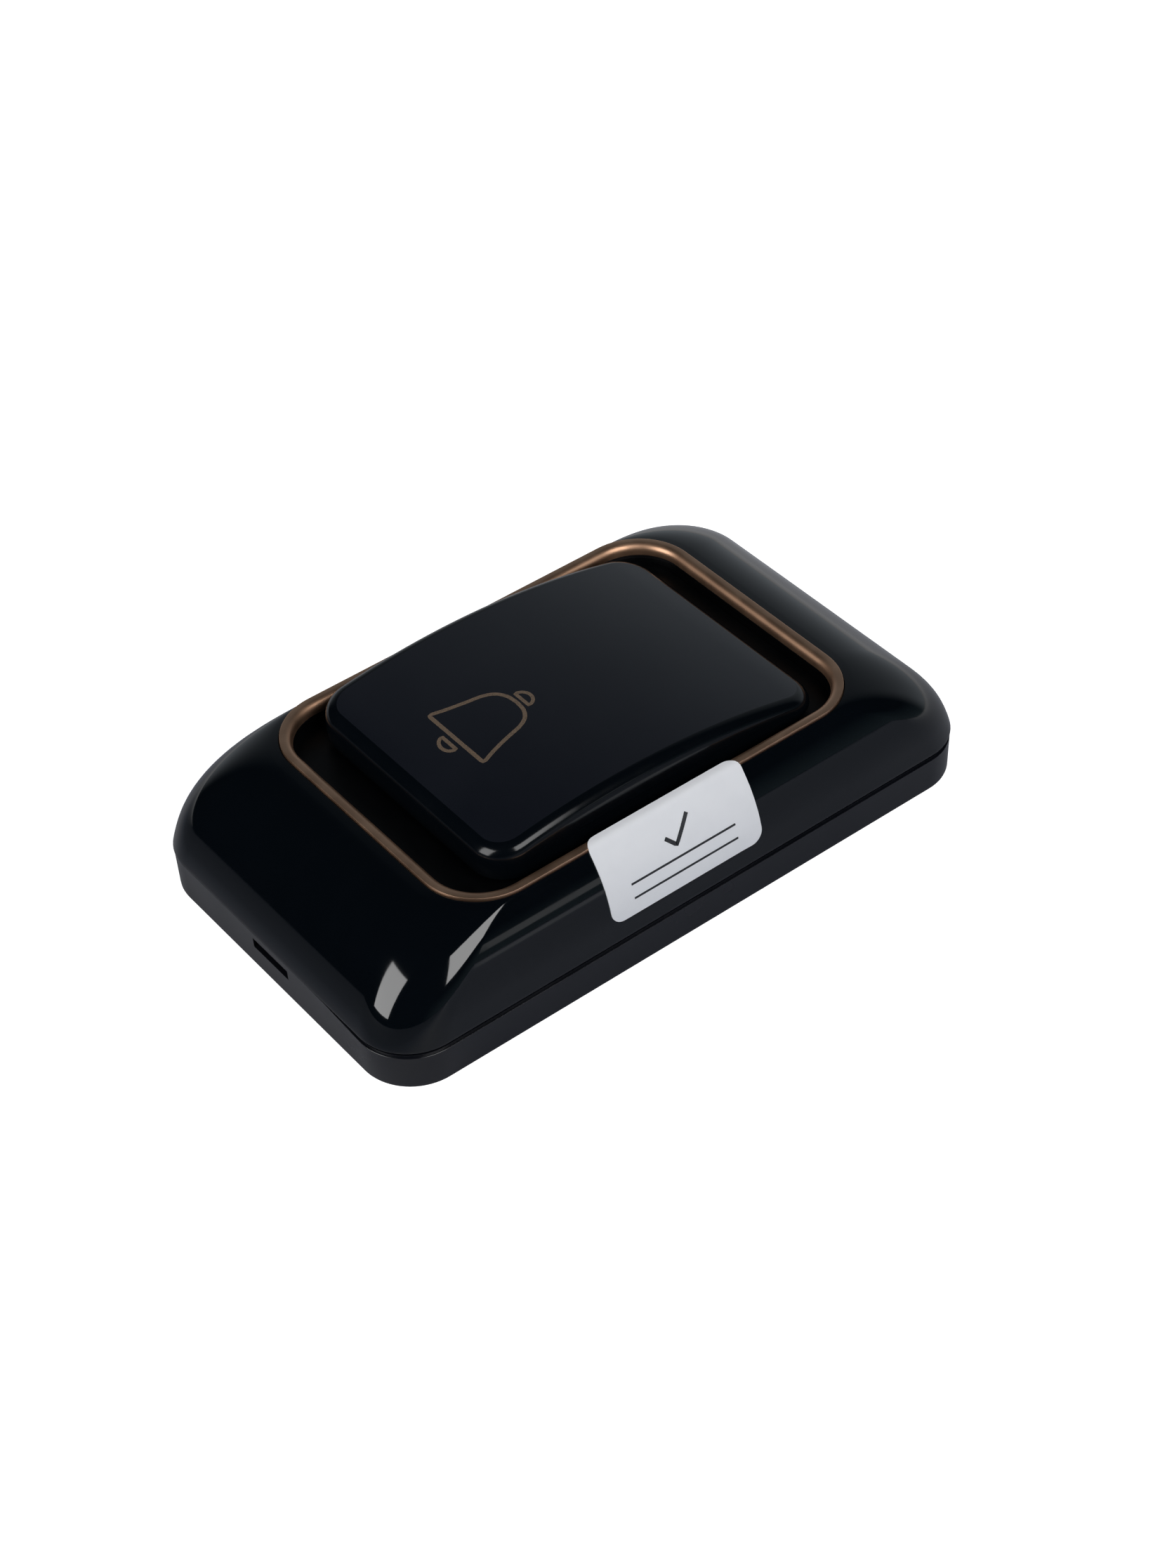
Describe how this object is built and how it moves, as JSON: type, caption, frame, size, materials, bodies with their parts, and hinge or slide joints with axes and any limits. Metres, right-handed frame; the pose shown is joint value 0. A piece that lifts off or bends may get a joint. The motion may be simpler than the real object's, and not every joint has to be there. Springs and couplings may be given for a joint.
{
  "type": "wireless doorbell push",
  "caption": "Wall-mounted wireless doorbell push: a hinged arched button inside a plated trim ring, on a rounded cover that lifts off a screw-fixed base plate.",
  "frame": {"origin": "middle of the back of the base plate, where it meets the wall", "axes": "+Z out of the wall towards the button, +Y along the body from the bell end to the hinge end, +X across the body towards the side with the sticker"},
  "size_m": [0.05, 0.086, 0.0212],
  "materials": {
    "gloss_black": "injection-moulded ABS, high gloss",
    "satin_black": "injection-moulded ABS, satin top and polished edge",
    "matt_black": "injection-moulded ABS, fine spark-eroded texture",
    "rose_gold": "vacuum-plated plastic, rose gold",
    "white_paper": "coated label paper, unprinted",
    "board_green": "glass-epoxy board with green solder mask",
    "copper": "tinned copper trace",
    "tinned_metal": "tin-plated strip",
    "nickel_can": "nickel-plated drawn steel",
    "screw_steel": "zinc-plated screw steel",
    "black_moulding": "moulded epoxy and nylon",
    "tan_ceramic": "fired ceramic chip",
    "cell_jacket": "shrunk plastic sleeve, unprinted"
  },
  "bodies": {
    "base": {"base_plate": "matt_black"},
    "front": {"front_cover": "gloss_black", "trim_ring": "rose_gold", "button_well": "gloss_black", "circuit_board": "board_green", "antenna_trace": "copper", "switch_housing": "black_moulding", "switch_plate": "tinned_metal", "switch_legs": "tinned_metal", "encoder_chip": "black_moulding", "component_leads": "tinned_metal", "saw_resonator": "nickel_can", "rf_transistor": "black_moulding", "chip_resistors": "black_moulding", "chip_capacitors": "tan_ceramic", "battery_can": "nickel_can", "battery_jacket": "cell_jacket", "contact_negative": "tinned_metal", "contact_positive": "tinned_metal", "board_screws": "screw_steel", "sticker": "white_paper"},
    "button": {"button_cap": "satin_black"},
    "plunger": {"switch_plunger": "black_moulding"}
  },
  "joints": [
    {"name": "front_release", "type": "slide", "parent": "base", "child": "front", "axis": [0, 0, 1], "range_m": [0, 0.03]},
    {"name": "button_press", "type": "hinge", "parent": "front", "child": "button", "pos_m": [0, 0.0205, 0.0149], "axis": [1, 0, 0], "range_deg": [0, 1.2], "stiffness_Nm_per_rad": 1.2, "springref_deg": -0.14},
    {"name": "plunger_travel", "type": "slide", "parent": "front", "child": "plunger", "axis": [0, 0, -1], "range_m": [0, 0.00035]}
  ],
  "couplings": [
    {"joint": "plunger_travel", "follows": "button_press", "m_per_rad": 0.016}
  ]
}
